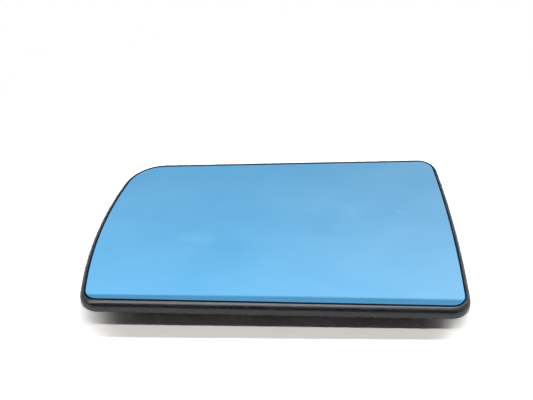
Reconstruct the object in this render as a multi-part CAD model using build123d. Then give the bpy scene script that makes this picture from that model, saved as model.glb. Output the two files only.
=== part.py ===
from build123d import *
import math
import os

# Glass plate seen from the front, its four corners taken before they are rounded
bottom_edge = 182.6
outer_rise = 100.65
outer_lean = 12.0
outer_bulge = 6.5
inner_rise = 110.45
inner_lean = 2.2
inner_bulge = 2.2
outer_top_radius = 21.5
inner_top_radius = 7.4
outer_bottom_radius = 6.3
inner_bottom_radius = 7.3
glass_thickness = 2.0
glass_bevel = 0.5
glass_bevel_depth = 0.25
glass_arris = 0.2

# Heating pad between the glass and the carrier floor
pad_thickness = 0.5
pad_inset = 2.6

# Carrier tray and its bead rim
floor_thickness = 2.0
edge_gap = 0.4
rim_width = 3.0
side_rim_width = 2.5
rim_height = 5.6
rim_draft = 4.0
rim_round = 3.2
crest_land = 0.15
crest_slope = 20.0
round_share = 0.95
shoulder_band = 0.1
rim_foot_round = 0.4
glass_proud = 0.12
skirt_wall = 1.8

# Clip ring on the back, which snaps over the actuator's mirror plate
clip_depth = 9.5
ring_radius = 30.0
ring_wall = 2.0
ring_lead_in = 0.7
ring_root = 0.8
finger_count = 4
finger_span = 34.0
slot_width = 1.6
finger_setback = 0.6
hook_reach = 1.2
hook_land = 1.2
tool_clearance = 0.4

# Stiffening ribs on the back
rib_thickness = 1.4
rib_spacing = 16.0
gusset_run = 9.0
gusset_setback = 2.0
inner_cross_ribs = 92.0
outer_cross_ribs = 142.0

# Blade terminals of the heating pad, with their rivets, windows and collars
blade_width = 6.3
blade_thickness = 0.8
blade_setback = 2.0
blade_tip_bevel = 1.0
blade_eye = 1.6
blade_eye_from_tip = 3.4
foot_length = 7.5
bend_radius = 0.5
terminal_spacing = 40.0
window_clearance = 1.2
window_corner_radius = 1.2
collar_wall = 1.2
rivet_shank = 2.4
rivet_head = 4.2
rivet_head_height = 0.6
rivet_clearance = 0.05

# Heights above the clip ring's rear face
floor_back = clip_depth
floor_front = floor_back + floor_thickness
pad_front = floor_front + pad_thickness
glass_front = pad_front + glass_thickness
rim_crest = glass_front - glass_proud
rim_foot = rim_crest - rim_height
ring_outer = ring_radius + ring_wall


def side_disc(start, end, bulge, margin):
    """A disc whose edge bows out past two corners, to the right of their direction, and then by a margin."""
    chord = end - start
    outward = Vector(chord.Y, -chord.X).normalized()
    radius = (chord.length ** 2 / 4 + bulge ** 2) / (2 * bulge)
    middle = (start + end) / 2 + outward * (bulge - radius)
    return Pos(middle.X, middle.Y) * Circle(radius + margin)


def rounded_outline(side_margin, edge_margin):
    """The glass outline, moved out at its two bowed sides and at its two straight edges."""
    outer_bottom = Vector(0, 0)
    inner_bottom = Vector(bottom_edge, 0)
    inner_top = Vector(bottom_edge - inner_lean, inner_rise)
    outer_top = Vector(outer_lean, outer_rise)
    along_top = (inner_top - outer_top).normalized()
    beyond = along_top * bottom_edge
    top_shift = Vector(-along_top.Y, along_top.X) * edge_margin
    bottom_shift = Vector(0, -edge_margin)
    band = make_face(Polyline(
        outer_bottom - Vector(bottom_edge, 0) + bottom_shift,
        inner_bottom + Vector(bottom_edge, 0) + bottom_shift,
        inner_top + beyond + top_shift,
        outer_top - beyond + top_shift,
        close=True,
    ))
    outline = band & side_disc(inner_bottom, inner_top, inner_bulge, side_margin)
    outline &= side_disc(outer_top, outer_bottom, outer_bulge, side_margin)
    for corner, radius in [
        (outer_bottom, outer_bottom_radius),
        (inner_bottom, inner_bottom_radius),
        (inner_top, inner_top_radius),
        (outer_top, outer_top_radius),
    ]:
        nearest = outline.vertices().sort_by_distance(corner)[0]
        outline = fillet(nearest, radius + edge_margin)
    return outline


# Outlines of the glass and of the rim's foot, with the middle of the glass at the origin
GLASS_OUTLINE = rounded_outline(0, 0)
MIDDLE = GLASS_OUTLINE.bounding_box().center()
TO_MIDDLE = Pos(-MIDDLE.X, -MIDDLE.Y)
PLAN = TO_MIDDLE * GLASS_OUTLINE
RIM_PLAN = TO_MIDDLE * rounded_outline(edge_gap + side_rim_width, edge_gap + rim_width)
LOWER_EDGE = PLAN.bounding_box().min.Y


def slab(outline, low, high, taper=0):
    """A plate of an outline, between two heights."""
    return extrude(Pos(0, 0, low) * outline, amount=high - low, dir=(0, 0, 1), taper=taper)


def front_face(solid):
    """The face furthest to the front, on the mirror's side."""
    return solid.faces().sort_by(Axis.Z)[-1]


def back_face(solid):
    """The face furthest to the back, on the clip ring's side."""
    return solid.faces().sort_by(Axis.Z)[0]


def mirror_glass():
    """Flat mirror plate with a ground bevel round its front and a narrow arris round its back."""
    plate = slab(PLAN, pad_front, glass_front)
    front = front_face(plate)
    plate = chamfer(front.edges(), glass_bevel, glass_bevel_depth, reference=front)
    return chamfer(back_face(plate).edges(), glass_arris)


def tray():
    """Floor and bead rim of the carrier, hollow in front for the glass and behind for the ribs."""
    body = slab(RIM_PLAN, rim_foot, rim_crest, taper=rim_draft)
    slope_run = rim_width - rim_height * math.tan(math.radians(rim_draft)) - crest_land
    slope_drop = slope_run * math.tan(math.radians(crest_slope))
    front = front_face(body)
    body = chamfer(front.edges(), slope_run, slope_drop, reference=front)
    shoulder_height = rim_crest - slope_drop
    shoulder = body.edges().filter_by_position(
        Axis.Z, shoulder_height - shoulder_band, shoulder_height + shoulder_band)
    half_turn = math.radians(90 - crest_slope - rim_draft) / 2
    widest_round = math.hypot(slope_run, slope_drop) / math.tan(half_turn)
    body = fillet(shoulder, min(rim_round, round_share * widest_round))
    body = fillet(back_face(body).edges(), rim_foot_round)
    body -= slab(offset(PLAN, edge_gap), floor_front, glass_front)
    body -= slab(offset(RIM_PLAN, -skirt_wall), 0, floor_back)
    return body


def ring_piece(profile, middle, span):
    """One stretch of the clip ring, turned about the ring's axis and centred on an angle."""
    section = Plane.XZ * make_face(Polyline(*profile, close=True))
    return Rot(0, 0, middle - span / 2) * revolve(section, Axis.Z, span)


def clip_ring():
    """Ring of snap fingers with hook noses, and fixed stretches between them that carry the rest face."""
    pitch = 360 / finger_count
    slot_span = math.degrees(slot_width / ring_radius)
    fixed_span = pitch - finger_span - 2 * slot_span
    fixed_profile = [
        (ring_radius, floor_back),
        (ring_outer + ring_root, floor_back),
        (ring_outer, floor_back - ring_root),
        (ring_outer, 0),
        (ring_radius + ring_lead_in, 0),
        (ring_radius, ring_lead_in),
    ]
    land_low = finger_setback + hook_reach
    land_high = land_low + hook_land
    finger_profile = [
        (ring_radius, floor_back),
        (ring_outer + ring_root, floor_back),
        (ring_outer, floor_back - ring_root),
        (ring_outer, finger_setback),
        (ring_radius, finger_setback),
        (ring_radius - hook_reach, land_low),
        (ring_radius - hook_reach, land_high),
        (ring_radius, land_high),
    ]
    pieces = []
    for index in range(finger_count):
        pieces.append(ring_piece(fixed_profile, index * pitch, fixed_span))
        pieces.append(ring_piece(finger_profile, (index + 0.5) * pitch, finger_span))
    return pieces


def tool_windows():
    """Windows through the floor behind the hook noses, left by the tool that forms them."""
    pitch = 360 / finger_count
    profile = [
        (ring_radius - hook_reach - tool_clearance, floor_back),
        (ring_radius, floor_back),
        (ring_radius, floor_front),
        (ring_radius - hook_reach - tool_clearance, floor_front),
    ]
    return [ring_piece(profile, (index + 0.5) * pitch, finger_span) for index in range(finger_count)]


def ribs():
    """Pairs of ribs from the fixed stretches of the ring to the rim, and the ribs that cross them."""
    reach = bottom_edge
    side = rib_spacing / 2
    root = math.sqrt((ring_radius + ring_wall / 2) ** 2 - side ** 2)
    profile = [
        (root, floor_back),
        (reach, floor_back),
        (reach, rim_foot),
        (ring_outer + gusset_run, rim_foot),
        (ring_outer, gusset_setback),
        (root, gusset_setback),
    ]
    rib = extrude(Plane.XZ * make_face(Polyline(*profile, close=True)), amount=rib_thickness / 2, both=True)
    pieces = []
    for index in range(finger_count):
        for shift in (-side, side):
            pieces.append(Rot(0, 0, index * 360 / finger_count) * Pos(0, shift, 0) * rib)
    middle_height = (rim_foot + floor_back) / 2
    for spacing in (inner_cross_ribs, outer_cross_ribs):
        for place in (-spacing / 2, spacing / 2):
            pieces.append(Pos(place, 0, middle_height) * Box(rib_thickness, reach, floor_back - rim_foot))
    room = slab(offset(RIM_PLAN, -skirt_wall), 0, floor_back)
    return [piece & room for piece in pieces]


TERMINAL_Y = (LOWER_EDGE - ring_outer) / 2
TERMINAL_X = {"outer_terminal": -terminal_spacing / 2, "inner_terminal": terminal_spacing / 2}


def window_plan(grow):
    """The outline of a terminal's window, grown all round."""
    width = blade_width + 2 * (window_clearance + grow)
    length = foot_length + 2 * (window_clearance + grow)
    return RectangleRounded(width, length, window_corner_radius + grow)


def terminal_windows():
    """Windows through the floor, and whatever lies behind it, that the terminals stand in."""
    window = extrude(window_plan(0), amount=floor_front)
    return [Pos(x, TERMINAL_Y, 0) * window for x in TERMINAL_X.values()]


def terminal_collars():
    """Low walls round the windows, as deep as the ribs, before the windows are cut through them."""
    collar = Pos(0, 0, rim_foot) * extrude(window_plan(collar_wall), amount=floor_back - rim_foot)
    return [Pos(x, TERMINAL_Y, 0) * collar for x in TERMINAL_X.values()]


def carrier():
    """The moulding that holds the glass and clips to the actuator."""
    body = tray()
    for piece in clip_ring() + ribs() + terminal_collars():
        body += piece
    for window in tool_windows() + terminal_windows():
        body -= window
    return body


def rivet_place(x):
    """Where a terminal's rivet passes through its foot."""
    return Pos(x, TERMINAL_Y + bend_radius, 0)


def terminal(x):
    """A blade bent from strip: a foot on the pad, and a bevelled tongue with an eye."""
    back = TERMINAL_Y - foot_length / 2
    front = TERMINAL_Y + foot_length / 2
    foot_back = floor_front - blade_thickness
    profile = make_face(Polyline(
        (back, floor_front),
        (front, floor_front),
        (front, foot_back),
        (back + blade_thickness, foot_back),
        (back + blade_thickness, blade_setback),
        (back, blade_setback),
        close=True,
    ))
    blade = extrude(Plane.YZ * profile, amount=blade_width / 2, both=True)
    inner_bend = blade.edges().filter_by(Axis.X).sort_by_distance((0, back + blade_thickness, foot_back))[0]
    blade = fillet(inner_bend, bend_radius)
    outer_bend = blade.edges().filter_by(Axis.X).sort_by_distance((0, back, floor_front))[0]
    blade = fillet(outer_bend, bend_radius + blade_thickness)
    tip_corners = blade.edges().filter_by(Axis.Y).group_by(Axis.Z)[0]
    blade = chamfer(tip_corners, blade_tip_bevel)
    eye_height = blade_setback + blade_eye_from_tip
    eye = Pos(0, back, eye_height) * Rot(90, 0, 0) * Cylinder(blade_eye / 2, 4 * blade_thickness)
    rivet_hole = rivet_place(0) * Pos(0, 0, foot_back) * Cylinder(
        rivet_shank / 2 + rivet_clearance, 4 * blade_thickness)
    return Pos(x, 0, 0) * (blade - eye - rivet_hole)


def rivet(x):
    """A rivet through a terminal's foot and the pad, its domed head on the back."""
    foot_back = floor_front - blade_thickness
    head_back = foot_back - rivet_head_height
    profile = make_face([
        Line((0, head_back), (0, pad_front)),
        Line((0, pad_front), (rivet_shank / 2, pad_front)),
        Line((rivet_shank / 2, pad_front), (rivet_shank / 2, foot_back)),
        Line((rivet_shank / 2, foot_back), (rivet_head / 2, foot_back)),
        TangentArc((0, head_back), (rivet_head / 2, foot_back), tangent=(1, 0)),
    ])
    return rivet_place(x) * revolve(Plane.XZ * profile, Axis.Z)


def heating_pad():
    """Self-adhesive heating film, pierced for the terminals' rivets."""
    pad = slab(offset(PLAN, -pad_inset), floor_front, pad_front)
    for x in TERMINAL_X.values():
        hole = Cylinder(rivet_shank / 2 + rivet_clearance, 4 * pad_thickness)
        pad -= rivet_place(x) * Pos(0, 0, floor_front) * hole
    return pad


pieces = {
    "mirror_glass": mirror_glass(),
    "heating_pad": heating_pad(),
    "carrier": carrier(),
    "terminal_rivets": Compound(children=[rivet(x) for x in TERMINAL_X.values()]),
}
for name, x in TERMINAL_X.items():
    pieces[name] = terminal(x)

os.makedirs("parts", exist_ok=True)
for name, piece in pieces.items():
    export_step(piece, f"parts/{name}.step")
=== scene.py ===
import math

import bpy
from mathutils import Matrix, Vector


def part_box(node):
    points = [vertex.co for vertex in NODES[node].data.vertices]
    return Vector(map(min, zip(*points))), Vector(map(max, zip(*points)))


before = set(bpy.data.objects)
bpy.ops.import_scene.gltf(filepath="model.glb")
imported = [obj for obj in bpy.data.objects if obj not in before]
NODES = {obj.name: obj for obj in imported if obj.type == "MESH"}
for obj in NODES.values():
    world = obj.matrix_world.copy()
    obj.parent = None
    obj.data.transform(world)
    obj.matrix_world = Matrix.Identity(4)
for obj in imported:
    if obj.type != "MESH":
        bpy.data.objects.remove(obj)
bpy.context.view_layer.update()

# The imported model. Lengths are in metres and angles in degrees, unless a comment says otherwise
GLASS_LOW, GLASS_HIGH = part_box("mirror_glass")

# Mirror: its coating where it looks duller and paler, and how upright a normal is on its face
MIRROR_DULL = (0.175, 0.546, 0.935, 1)
MIRROR_BRIGHT = (0.225, 0.614, 1.0, 1)
MIRROR_SPECULAR = 0.1
FACE_UPRIGHT = 0.98

# Dark matt edge, where the glass is ground
GLASS_EDGE = (0.004, 0.012, 0.036, 1)
GLASS_EDGE_ROUGHNESS = 0.5

# Smears: turn in radians, waves in a metre, and the levels over which they grow pale, then hazy
SMEAR_TURN, SMEAR_SCALE = (0, 0, 0.2), (26, 48, 26)
SMEAR_DETAIL = 3.0
PALE_FROM, PALE_TO = 0.2, 0.8
HAZE_FROM, HAZE_TO = 0.45, 0.75
CLEAR_ROUGHNESS, HAZY_ROUGHNESS = 0.006, 0.02

# Marks on the mirror: x and y of the middle, half length, half width, turn, and how much paler or duller
MARKS = {
    "pale_wipe": (-0.042, -0.012, 0.014, 0.005, 0.0, 0.3),
    "dull_cloud": (-0.027, -0.018, 0.016, 0.016, 0.0, -0.32),
    "dull_spot": (0.026, -0.006, 0.009, 0.005, 0.0, -0.25),
    "pale_cloud": (0.04, 0.01, 0.009, 0.009, 0.0, 0.3),
    "scratch": (0.066, 0.011, 0.005, 0.0015, -27.0, 0.5),
}

# Specks of dust: colour, cells in a metre with at most one speck each, and radius
DUST = (0.3, 0.5, 0.64, 1)
DUST_SCALE, DUST_RADIUS = 120.0, 0.00022

# Plastic: patches of uneven colour and gloss, and the fine grain of its mould
PLASTIC_DARK = (0.0125, 0.013, 0.0143, 1)
PLASTIC_PALE = (0.0165, 0.017, 0.0187, 1)
PLASTIC_SPECULAR = 0.8
PATCH_SCALE, PATCH_DETAIL = 60.0, 4.0
PATCH_FROM, PATCH_TO = 0.3, 0.7
DARK_ROUGHNESS, PALE_ROUGHNESS = 0.25, 0.3
GRAIN_SCALE, GRAIN_DETAIL = 3500.0, 2.0
GRAIN_STRENGTH, GRAIN_DEPTH = 0.2, 0.00004

# Heating film and the conductor lines printed on it
FILM = (0.3, 0.12, 0.035, 1)
CONDUCTOR = (0.12, 0.05, 0.02, 1)
CONDUCTOR_SCALE = 60.0
FILM_ROUGHNESS = 0.35

# Tinned brass, from bright to tarnished
TINNED = (0.7, 0.66, 0.56, 1)
TARNISH_SCALE, TARNISH_DETAIL = 900.0, 4.0
BRIGHT_ROUGHNESS, TARNISHED_ROUGHNESS = 0.2, 0.45

# Camera at the photograph's viewpoint: height above the glass, distance from its lower edge, and turn
CAMERA_ABOVE_GLASS = 0.26953
CAMERA_BEFORE_EDGE = 0.2315
CAMERA_SIDE = 0.0025
CAMERA_PITCH = 41.46
CAMERA_TURN = 1.5024
CAMERA_CLIP = 0.01
LENS_MM = 50.0
SENSOR_MM = 36.0

# Lamps: angle from the back towards the right, angle above the floor, length, width, watts and colour
LAMP_DISTANCE = 0.45
LAMPS = {
    "top_strip": (0.0, 93.0, 1.5, 0.03, 1.494, (1.0, 0.96, 0.915)),
    "rear_strip": (0.0, 60.5, 1.5, 0.024, 2.448, (0.97, 0.98, 1.0)),
    "left_panel": (-50.0, 20.0, 0.12, 0.12, 0.35, (1.0, 1.0, 1.0)),
    "right_panel": (50.0, 20.0, 0.12, 0.12, 0.61, (1.0, 1.0, 1.0)),
}

# Sheen panel over the lower edge: length, width, watts and colour, its height, shift back and turn
SHEEN = (5.0, 0.45, 26.0, (0.99, 1.0, 0.99))
SHEEN_ABOVE, SHEEN_BACK, SHEEN_TURN = 1.5, -0.08, 30.0

# Floor, as light and gloss meet it, as the overexposed camera sees it, and where it turns plain white
FLOOR = (0.93, 0.93, 0.93, 1)
FLOOR_OVEREXPOSED = (1.7, 1.7, 1.7, 1)
FLOOR_NEAR, FLOOR_FAR = 0.14, 0.24
FLOOR_HALF = 6.0
WHITE = (1, 1, 1, 1)

# The floor leans a little, as if the part lay askew, and touches the clip ring at its right edge
FLOOR_LEAN, RING_EDGE = 0.7, 0.032

# Light tent, as gloss mirrors it, by direction: x is right, y is back and z is up
# A slope there is z over y, with y no less than this
LEAST_BACK = 0.001

# Wall of the tent, behind: brightness by slope, and tint from left to right and beyond its two ends
WALL_LOW_SLOPE, WALL_LOW = 0.8, 0.7
WALL_HIGH_SLOPE, WALL_HIGH = 1.13, 0.97
WALL_LEFT = (0.95, 0.985, 1.0, 1)
WALL_RIGHT = (1.28, 1.06, 1.0, 1)
WALL_LEFT_X, WALL_RIGHT_X = -0.05, 0.24
WALL_OUTSIDE = (0.7, 1.0, 1.4, 1)
WALL_END_X, OUTSIDE_X = 0.28, 0.36

# Dark foot of the wall in its two corners
WALL_FOOT = (0.26, 0.33, 0.45, 1)
FOOT_TOP_Z, FOOT_LOW_Z = 0.36, 0.26
FOOT_INNER_X, FOOT_OUTER_X = 0.35, 0.5

# Ceiling, whose edge over the wall tilts a little, and the paler roof above it
CEILING = (0.43, 0.52, 0.555, 1)
CEILING_SLOPE, CEILING_BLUR = 1.1447, 0.003
CEILING_LEFT_TILT, CEILING_RIGHT_TILT = 0.021, 0.004
ROOF = (0.9, 0.9, 0.9, 1)
ROOF_LOW_Z, ROOF_HIGH_Z = 0.84, 0.88

# Dark side where the camera stands: its direction, and the cosines at which it starts and is full
FRONT = (0.02, 0.055, 0.14, 1)
FRONT_TOWARDS = (0.0, -0.94, 0.34)
FRONT_START, FRONT_FULL = 0.68, 0.85

# Light from all sides on dull surfaces
AMBIENT = (0.036, 0.034, 0.033, 1)


def new_material(name):
    """A material with nodes, its node tree and its Principled shader."""
    material = bpy.data.materials.new(name)
    material.use_nodes = True
    tree = material.node_tree
    return material, tree, tree.nodes["Principled BSDF"]


def feed(tree, node, inputs):
    """Links or sets some of a node's inputs."""
    for key, value in inputs.items():
        if isinstance(value, bpy.types.NodeSocket):
            tree.links.new(value, node.inputs[key])
        else:
            node.inputs[key].default_value = value


def put(tree, kind, inputs=(), **settings):
    """Adds a node, sets its properties, and links or sets its inputs."""
    node = tree.nodes.new(kind)
    for key, value in settings.items():
        setattr(node, key, value)
    feed(tree, node, dict(inputs))
    return node


def object_place(tree):
    """The place of a point in the frame of its object, in metres."""
    return put(tree, "ShaderNodeTexCoord").outputs["Object"]


def noise(tree, place, scale, detail):
    """Soft random patches between 0 and 1."""
    node = put(tree, "ShaderNodeTexNoise", {"Vector": place, "Scale": scale, "Detail": detail})
    return node.outputs["Fac"]


def ramp(tree, value, low, high, smooth=False):
    """A factor that runs from 0 to 1 while a value runs from low to high."""
    kind = "SMOOTHSTEP" if smooth else "LINEAR"
    node = put(tree, "ShaderNodeMapRange", {"Value": value, "From Min": low, "From Max": high},
               interpolation_type=kind)
    return node.outputs["Result"]


def between(tree, factor, first, second):
    """A number that changes from the first to the second with a factor."""
    node = put(tree, "ShaderNodeMapRange", {"Value": factor, "To Min": first, "To Max": second})
    return node.outputs["Result"]


def blend(tree, factor, first, second, kind="RGBA"):
    """A colour, or with kind FLOAT a number, that changes from the first to the second with a factor."""
    node = put(tree, "ShaderNodeMix", {"Factor": factor, "A": first, "B": second}, data_type=kind)
    return node.outputs["Result"]


def maths(tree, operation, first, second=0.0):
    """The result of one operation on one or two values."""
    return put(tree, "ShaderNodeMath", {0: first, 1: second}, operation=operation).outputs["Value"]


def dress(node_name, material):
    """Gives a CAD node its material."""
    slots = NODES[node_name].data.materials
    slots.clear()
    slots.append(material)


def mark(tree, place, x, y, length, width, turn):
    """A soft oval spot on the mirror face: 1 in its middle, 0 at its edge."""
    spot = put(tree, "ShaderNodeMapping", {"Vector": place, "Location": (x, y, GLASS_HIGH.z),
                                           "Rotation": (0, 0, math.radians(turn)),
                                           "Scale": (length, width, length)}, vector_type="TEXTURE")
    fade = put(tree, "ShaderNodeTexGradient", {"Vector": spot.outputs["Vector"]},
               gradient_type="SPHERICAL")
    return fade.outputs["Fac"]


def smears(tree, place):
    """How smeared the mirror face is: faint wipes all over it, and the marks."""
    wiped = put(tree, "ShaderNodeMapping", {"Vector": place, "Rotation": SMEAR_TURN, "Scale": SMEAR_SCALE})
    level = noise(tree, wiped.outputs["Vector"], 1.0, SMEAR_DETAIL)
    for *spot, strength in MARKS.values():
        change = maths(tree, "MULTIPLY", mark(tree, place, *spot), strength)
        level = maths(tree, "ADD", level, change)
    return level


def mirror_material():
    """Blue mirror coating with faint smears and specks of dust, and the dark ground edge of its glass."""
    material, tree, shader = new_material("blue_mirror")
    coords = put(tree, "ShaderNodeTexCoord").outputs
    normal = put(tree, "ShaderNodeSeparateXYZ", {"Vector": coords["Normal"]})
    face = maths(tree, "GREATER_THAN", normal.outputs["Z"], FACE_UPRIGHT)
    level = smears(tree, coords["Object"])
    coating = blend(tree, ramp(tree, level, PALE_FROM, PALE_TO), MIRROR_DULL, MIRROR_BRIGHT)
    haze = between(tree, ramp(tree, level, HAZE_FROM, HAZE_TO), CLEAR_ROUGHNESS, HAZY_ROUGHNESS)
    dust = put(tree, "ShaderNodeTexVoronoi", {"Vector": coords["Object"], "Scale": DUST_SCALE})
    speck = maths(tree, "LESS_THAN", dust.outputs["Distance"], DUST_RADIUS * DUST_SCALE)
    metallic = maths(tree, "GREATER_THAN", face, speck)
    feed(tree, shader, {
        "Base Color": blend(tree, face, GLASS_EDGE, blend(tree, speck, coating, DUST)),
        "Metallic": metallic,
        "Roughness": blend(tree, metallic, GLASS_EDGE_ROUGHNESS, haze, kind="FLOAT"),
        "Specular IOR Level": MIRROR_SPECULAR,
    })
    return material


def plastic_material():
    """Black moulded plastic, a little uneven in colour and gloss, with a fine spark-eroded grain."""
    material, tree, shader = new_material("black_plastic")
    place = object_place(tree)
    dull = ramp(tree, noise(tree, place, PATCH_SCALE, PATCH_DETAIL), PATCH_FROM, PATCH_TO)
    grain = noise(tree, place, GRAIN_SCALE, GRAIN_DETAIL)
    bump = put(tree, "ShaderNodeBump", {"Height": grain, "Strength": GRAIN_STRENGTH,
                                        "Distance": GRAIN_DEPTH})
    feed(tree, shader, {
        "Base Color": blend(tree, dull, PLASTIC_DARK, PLASTIC_PALE),
        "Roughness": between(tree, dull, DARK_ROUGHNESS, PALE_ROUGHNESS),
        "Specular IOR Level": PLASTIC_SPECULAR,
        "Normal": bump.outputs["Normal"],
    })
    return material


def pad_material():
    """Amber heating film with printed conductor lines."""
    material, tree, shader = new_material("heating_film")
    lines = put(tree, "ShaderNodeTexWave", {"Vector": object_place(tree), "Scale": CONDUCTOR_SCALE},
                bands_direction="Y")
    feed(tree, shader, {
        "Base Color": blend(tree, lines.outputs["Fac"], FILM, CONDUCTOR),
        "Roughness": FILM_ROUGHNESS,
    })
    return material


def terminal_material():
    """Tinned brass, dull in patches."""
    material, tree, shader = new_material("tinned_brass")
    tarnish = noise(tree, object_place(tree), TARNISH_SCALE, TARNISH_DETAIL)
    feed(tree, shader, {
        "Base Color": TINNED,
        "Metallic": 1.0,
        "Roughness": between(tree, tarnish, BRIGHT_ROUGHNESS, TARNISHED_ROUGHNESS),
    })
    return material


def floor_material():
    """Pale paint that keeps a shadow, seen as overexposed near the part and as plain white further off."""
    material, tree, shader = new_material("pale_floor")
    tree.nodes.remove(shader)
    seen = put(tree, "ShaderNodeLightPath").outputs["Is Camera Ray"]
    paint = put(tree, "ShaderNodeBsdfDiffuse", {"Color": blend(tree, seen, FLOOR, FLOOR_OVEREXPOSED)})
    white = put(tree, "ShaderNodeEmission", {"Color": WHITE})
    away = put(tree, "ShaderNodeVectorMath", {0: object_place(tree)}, operation="LENGTH")
    far = maths(tree, "MULTIPLY", seen, ramp(tree, away.outputs["Value"], FLOOR_NEAR, FLOOR_FAR))
    surface = put(tree, "ShaderNodeMixShader", {0: far, 1: paint.outputs["BSDF"],
                                                2: white.outputs["Emission"]})
    feed(tree, tree.nodes["Material Output"], {"Surface": surface.outputs["Shader"]})
    return material


def build_camera():
    """The camera at the photograph's viewpoint."""
    data = bpy.data.cameras.new("camera")
    data.lens = LENS_MM
    data.sensor_width = SENSOR_MM
    data.clip_start = CAMERA_CLIP
    camera = bpy.data.objects.new("camera", data)
    camera.location = (CAMERA_SIDE, GLASS_LOW.y - CAMERA_BEFORE_EDGE, GLASS_HIGH.z + CAMERA_ABOVE_GLASS)
    camera.rotation_euler = (math.radians(90 - CAMERA_PITCH), 0, math.radians(CAMERA_TURN))
    bpy.context.scene.collection.objects.link(camera)
    bpy.context.scene.camera = camera


def area_lamp(name, length, width, power, colour):
    """A rectangular lamp, not yet placed."""
    data = bpy.data.lights.new(name, "AREA")
    data.shape = "RECTANGLE"
    data.size = length
    data.size_y = width
    data.energy = power
    data.color = colour
    lamp = bpy.data.objects.new(name, data)
    bpy.context.scene.collection.objects.link(lamp)
    return lamp


def build_lamps():
    """Two strips overhead, for the two crisp steps of the shadow before the rim, and two side panels."""
    for name, (azimuth, elevation, *make) in LAMPS.items():
        lamp = area_lamp(name, *make)
        turn = math.radians(azimuth)
        rise = math.radians(elevation)
        towards = Vector((math.sin(turn) * math.cos(rise), math.cos(turn) * math.cos(rise), math.sin(rise)))
        lamp.location = Vector((0, GLASS_LOW.y, 0)) + LAMP_DISTANCE * towards
        lamp.rotation_euler = towards.to_track_quat("Z", "Y").to_euler()
        lamp.visible_glossy = False


def build_sheen():
    """A broad panel overhead that only the plastic mirrors, for the soft highlight along its rim."""
    lamp = area_lamp("sheen_panel", *SHEEN)
    lamp.location = (0, GLASS_LOW.y + SHEEN_BACK, SHEEN_ABOVE)
    lamp.rotation_euler = (0, 0, math.radians(SHEEN_TURN))
    lamp.visible_diffuse = False
    plastic = bpy.data.collections.new("plastic")
    plastic.objects.link(NODES["carrier"])
    lamp.light_linking.receiver_collection = plastic


def build_floor():
    """A plain pale floor under the part."""
    rise = math.tan(math.radians(FLOOR_LEAN))
    left = (-FLOOR_HALF, rise * (-FLOOR_HALF - RING_EDGE))
    right = (FLOOR_HALF, rise * (FLOOR_HALF - RING_EDGE))
    corners = [(left, -FLOOR_HALF), (right, -FLOOR_HALF), (right, FLOOR_HALF), (left, FLOOR_HALF)]
    mesh = bpy.data.meshes.new("floor")
    mesh.from_pydata([(x, y, z) for (x, z), y in corners], [], [(0, 1, 2, 3)])
    mesh.materials.append(floor_material())
    floor = bpy.data.objects.new("floor", mesh)
    bpy.context.scene.collection.objects.link(floor)


def tent_wall(tree, x, y, z, slope):
    """The wall behind the part: paler with height, warmer to the right, dark at its two back corners."""
    tint = blend(tree, ramp(tree, x, WALL_LEFT_X, WALL_RIGHT_X), WALL_LEFT, WALL_RIGHT)
    aside = maths(tree, "ABSOLUTE", x)
    tint = blend(tree, ramp(tree, aside, WALL_END_X, OUTSIDE_X), tint, WALL_OUTSIDE)
    level = between(tree, ramp(tree, slope, WALL_LOW_SLOPE, WALL_HIGH_SLOPE), WALL_LOW, WALL_HIGH)
    wall = put(tree, "ShaderNodeVectorMath", {0: tint, "Scale": level}, operation="SCALE")
    foot = maths(tree, "MULTIPLY", ramp(tree, z, FOOT_TOP_Z, FOOT_LOW_Z),
                 ramp(tree, aside, FOOT_INNER_X, FOOT_OUTER_X))
    behind = maths(tree, "MULTIPLY", foot, maths(tree, "GREATER_THAN", y, 0.0))
    return blend(tree, behind, wall.outputs["Vector"], WALL_FOOT)


def tent_ceiling(tree, x, slope):
    """Where the ceiling is, above its edge over the wall: 1 there, 0 below."""
    tilt = maths(tree, "MINIMUM", maths(tree, "MULTIPLY", x, CEILING_LEFT_TILT),
                 maths(tree, "MULTIPLY", x, CEILING_RIGHT_TILT))
    height = maths(tree, "ADD", slope, tilt)
    return ramp(tree, height, CEILING_SLOPE - CEILING_BLUR, CEILING_SLOPE + CEILING_BLUR)


def build_world():
    """Light tent: pale behind and above the part, dark where the camera stands, white as a background."""
    world = bpy.data.worlds.new("tent")
    world.use_nodes = True
    bpy.context.scene.world = world
    tree = world.node_tree
    direction = put(tree, "ShaderNodeTexCoord").outputs["Generated"]
    x, y, z = put(tree, "ShaderNodeSeparateXYZ", {"Vector": direction}).outputs
    slope = maths(tree, "DIVIDE", z, maths(tree, "MAXIMUM", y, LEAST_BACK))
    tent = blend(tree, tent_ceiling(tree, x, slope), tent_wall(tree, x, y, z, slope), CEILING)
    tent = blend(tree, ramp(tree, z, ROOF_LOW_Z, ROOF_HIGH_Z), tent, ROOF)
    facing = put(tree, "ShaderNodeVectorMath", {0: direction, 1: FRONT_TOWARDS}, operation="DOT_PRODUCT")
    front = ramp(tree, facing.outputs["Value"], FRONT_START, FRONT_FULL, smooth=True)
    tent = blend(tree, front, tent, FRONT)
    path = put(tree, "ShaderNodeLightPath").outputs
    lit = blend(tree, path["Is Glossy Ray"], AMBIENT, tent)
    seen = blend(tree, path["Is Camera Ray"], lit, WHITE)
    feed(tree, tree.nodes["Background"], {"Color": seen})


dress("mirror_glass", mirror_material())
dress("carrier", plastic_material())
dress("heating_pad", pad_material())
tinned = terminal_material()
for name in ("outer_terminal", "inner_terminal", "terminal_rivets"):
    dress(name, tinned)

build_camera()
build_lamps()
build_sheen()
build_floor()
build_world()
bpy.context.scene.view_settings.view_transform = "Standard"
